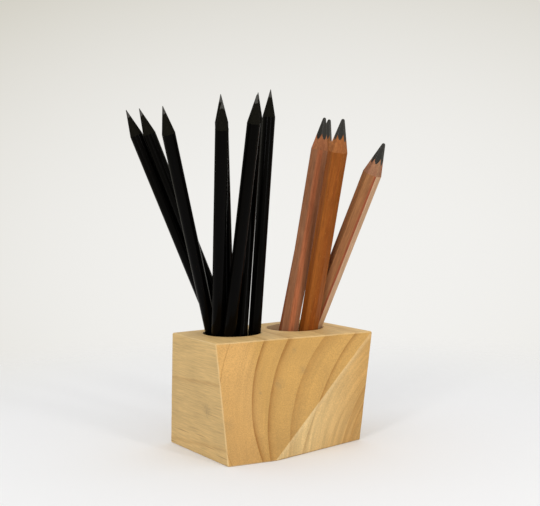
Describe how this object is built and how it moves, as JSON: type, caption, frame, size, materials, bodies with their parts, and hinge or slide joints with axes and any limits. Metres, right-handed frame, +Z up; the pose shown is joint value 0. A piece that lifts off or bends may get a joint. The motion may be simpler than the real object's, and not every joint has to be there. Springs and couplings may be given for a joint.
{
  "type": "pen holder",
  "caption": "Faceted pale wood desk block with two blind round bores holding black round pencils and thick cedar pencils, each of which lifts out.",
  "frame": {"origin": "middle of the block's length at the level of its base, near the middle of the base face", "axes": "+Z up out of the bores, +X along the block to the right seen from the faceted front, -Y towards that front"},
  "size_m": [0.1249, 0.0795, 0.2013],
  "materials": {
    "block_wood": "sanded, thin oil",
    "black_barrel": "dyed black, satin lacquer",
    "cedar_barrel": "bare, thin oil",
    "thin_lead": "sharpened graphite",
    "thick_lead": "sharpened graphite"
  },
  "bodies": {
    "holder": {"block": "block_wood"},
    "black_pencil_1": {"black_pencil_1_left_slat": "black_barrel", "black_pencil_1_right_slat": "black_barrel", "black_pencil_1_lead": "thin_lead"},
    "black_pencil_2": {"black_pencil_2_left_slat": "black_barrel", "black_pencil_2_right_slat": "black_barrel", "black_pencil_2_lead": "thin_lead"},
    "black_pencil_3": {"black_pencil_3_left_slat": "black_barrel", "black_pencil_3_right_slat": "black_barrel", "black_pencil_3_lead": "thin_lead"},
    "black_pencil_4": {"black_pencil_4_left_slat": "black_barrel", "black_pencil_4_right_slat": "black_barrel", "black_pencil_4_lead": "thin_lead"},
    "black_pencil_5": {"black_pencil_5_left_slat": "black_barrel", "black_pencil_5_right_slat": "black_barrel", "black_pencil_5_lead": "thin_lead"},
    "black_pencil_6": {"black_pencil_6_left_slat": "black_barrel", "black_pencil_6_right_slat": "black_barrel", "black_pencil_6_lead": "thin_lead"},
    "black_pencil_7": {"black_pencil_7_left_slat": "black_barrel", "black_pencil_7_right_slat": "black_barrel", "black_pencil_7_lead": "thin_lead"},
    "black_pencil_8": {"black_pencil_8_left_slat": "black_barrel", "black_pencil_8_right_slat": "black_barrel", "black_pencil_8_lead": "thin_lead"},
    "cedar_pencil_1": {"cedar_pencil_1_left_slat": "cedar_barrel", "cedar_pencil_1_right_slat": "cedar_barrel", "cedar_pencil_1_lead": "thick_lead"},
    "cedar_pencil_2": {"cedar_pencil_2_left_slat": "cedar_barrel", "cedar_pencil_2_right_slat": "cedar_barrel", "cedar_pencil_2_lead": "thick_lead"},
    "cedar_pencil_3": {"cedar_pencil_3_left_slat": "cedar_barrel", "cedar_pencil_3_right_slat": "cedar_barrel", "cedar_pencil_3_lead": "thick_lead"},
    "cedar_pencil_4": {"cedar_pencil_4_left_slat": "cedar_barrel", "cedar_pencil_4_right_slat": "cedar_barrel", "cedar_pencil_4_lead": "thick_lead"}
  },
  "joints": [
    {"name": "black_pencil_1_lift", "type": "slide", "parent": "holder", "child": "black_pencil_1", "axis": [-0.3497, 0.1074, 0.9307], "range_m": [0, 0.0447]},
    {"name": "black_pencil_2_lift", "type": "slide", "parent": "holder", "child": "black_pencil_2", "axis": [-0.337, 0.1133, 0.9347], "range_m": [0, 0.0445]},
    {"name": "black_pencil_3_lift", "type": "slide", "parent": "holder", "child": "black_pencil_3", "axis": [-0.3116, -0.1953, 0.9299], "range_m": [0, 0.0447]},
    {"name": "black_pencil_4_lift", "type": "slide", "parent": "holder", "child": "black_pencil_4", "axis": [-0.1403, -0.3053, 0.9419], "range_m": [0, 0.0442]},
    {"name": "black_pencil_5_lift", "type": "slide", "parent": "holder", "child": "black_pencil_5", "axis": [-0.1398, -0.2056, 0.9686], "range_m": [0, 0.0432]},
    {"name": "black_pencil_6_lift", "type": "slide", "parent": "holder", "child": "black_pencil_6", "axis": [-0.0201, -0.2667, 0.9636], "range_m": [0, 0.0434]},
    {"name": "black_pencil_7_lift", "type": "slide", "parent": "holder", "child": "black_pencil_7", "axis": [0.1221, 0.0408, 0.9917], "range_m": [0, 0.0423]},
    {"name": "black_pencil_8_lift", "type": "slide", "parent": "holder", "child": "black_pencil_8", "axis": [0.0423, -0.0786, 0.996], "range_m": [0, 0.0421]},
    {"name": "cedar_pencil_1_lift", "type": "slide", "parent": "holder", "child": "cedar_pencil_1", "axis": [0.1353, -0.1037, 0.9854], "range_m": [0, 0.0425]},
    {"name": "cedar_pencil_2_lift", "type": "slide", "parent": "holder", "child": "cedar_pencil_2", "axis": [0.1646, -0.1152, 0.9796], "range_m": [0, 0.0427]},
    {"name": "cedar_pencil_3_lift", "type": "slide", "parent": "holder", "child": "cedar_pencil_3", "axis": [0.0415, -0.2285, 0.9727], "range_m": [0, 0.043]},
    {"name": "cedar_pencil_4_lift", "type": "slide", "parent": "holder", "child": "cedar_pencil_4", "axis": [0.1735, -0.366, 0.9143], "range_m": [0, 0.0454]}
  ]
}
